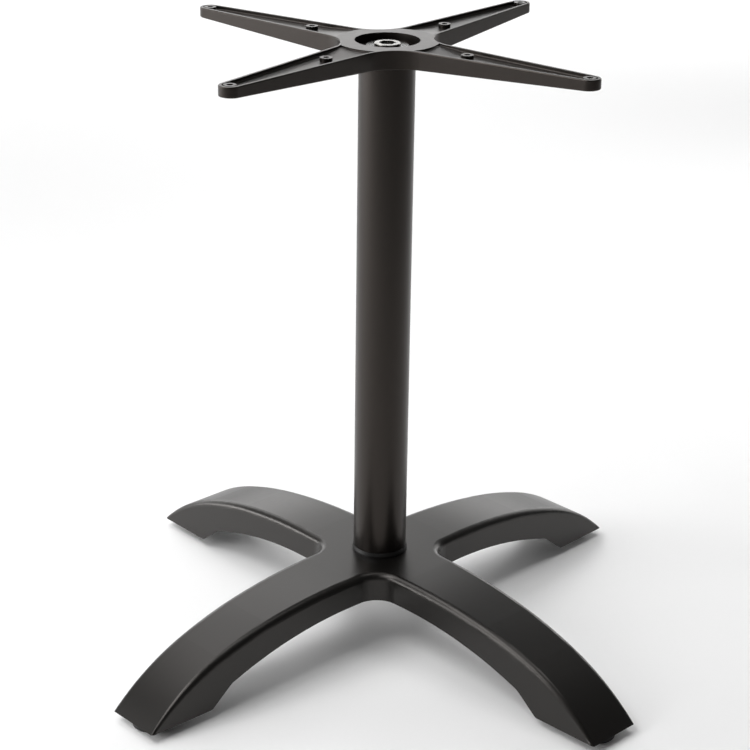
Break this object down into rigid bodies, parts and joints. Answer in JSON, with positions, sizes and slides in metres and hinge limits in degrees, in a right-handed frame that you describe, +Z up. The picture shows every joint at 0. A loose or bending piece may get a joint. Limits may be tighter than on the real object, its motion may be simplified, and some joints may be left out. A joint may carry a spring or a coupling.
{
  "type": "four star table base",
  "caption": "Table base with a cast star foot on levelling glides, a round column and a cast arm plate that carries the top.",
  "frame": {"origin": "on the floor under the column's axis, at the middle of the footprint", "axes": "+Z up along the column; -Y is the pictured front; the legs lie on the diagonals of X and Y"},
  "size_m": [0.5788, 0.5788, 0.72],
  "materials": {
    "cast_coat": "satin dark powder coat on a casting",
    "column_coat": "satin dark powder coat on a smooth tube",
    "ring_plastic": "dark satin plastic",
    "bright_steel": "zinc plated",
    "pad_plastic": "black moulded plastic"
  },
  "bodies": {
    "base": {"base_casting": "cast_coat", "column_tube": "column_coat", "column_foot_ring": "ring_plastic", "top_casting": "cast_coat", "tie_rod": "bright_steel", "tie_nut": "bright_steel", "top_clamp_washer": "bright_steel", "lower_washer": "bright_steel", "lock_washer": "bright_steel", "lower_nut": "bright_steel", "foot_insert_1": "bright_steel", "foot_insert_2": "bright_steel", "foot_insert_3": "bright_steel", "foot_insert_4": "bright_steel"},
    "foot_1": {"foot_stud_1": "bright_steel", "foot_pad_1": "pad_plastic"},
    "foot_2": {"foot_stud_2": "bright_steel", "foot_pad_2": "pad_plastic"},
    "foot_3": {"foot_stud_3": "bright_steel", "foot_pad_3": "pad_plastic"},
    "foot_4": {"foot_stud_4": "bright_steel", "foot_pad_4": "pad_plastic"}
  },
  "joints": [
    {"name": "foot_1_height", "type": "slide", "parent": "base", "child": "foot_1", "axis": [0, 0, -1], "range_m": [0, 0.008]},
    {"name": "foot_2_height", "type": "slide", "parent": "base", "child": "foot_2", "axis": [0, 0, -1], "range_m": [0, 0.008]},
    {"name": "foot_3_height", "type": "slide", "parent": "base", "child": "foot_3", "axis": [0, 0, -1], "range_m": [0, 0.008]},
    {"name": "foot_4_height", "type": "slide", "parent": "base", "child": "foot_4", "axis": [0, 0, -1], "range_m": [0, 0.008]}
  ]
}
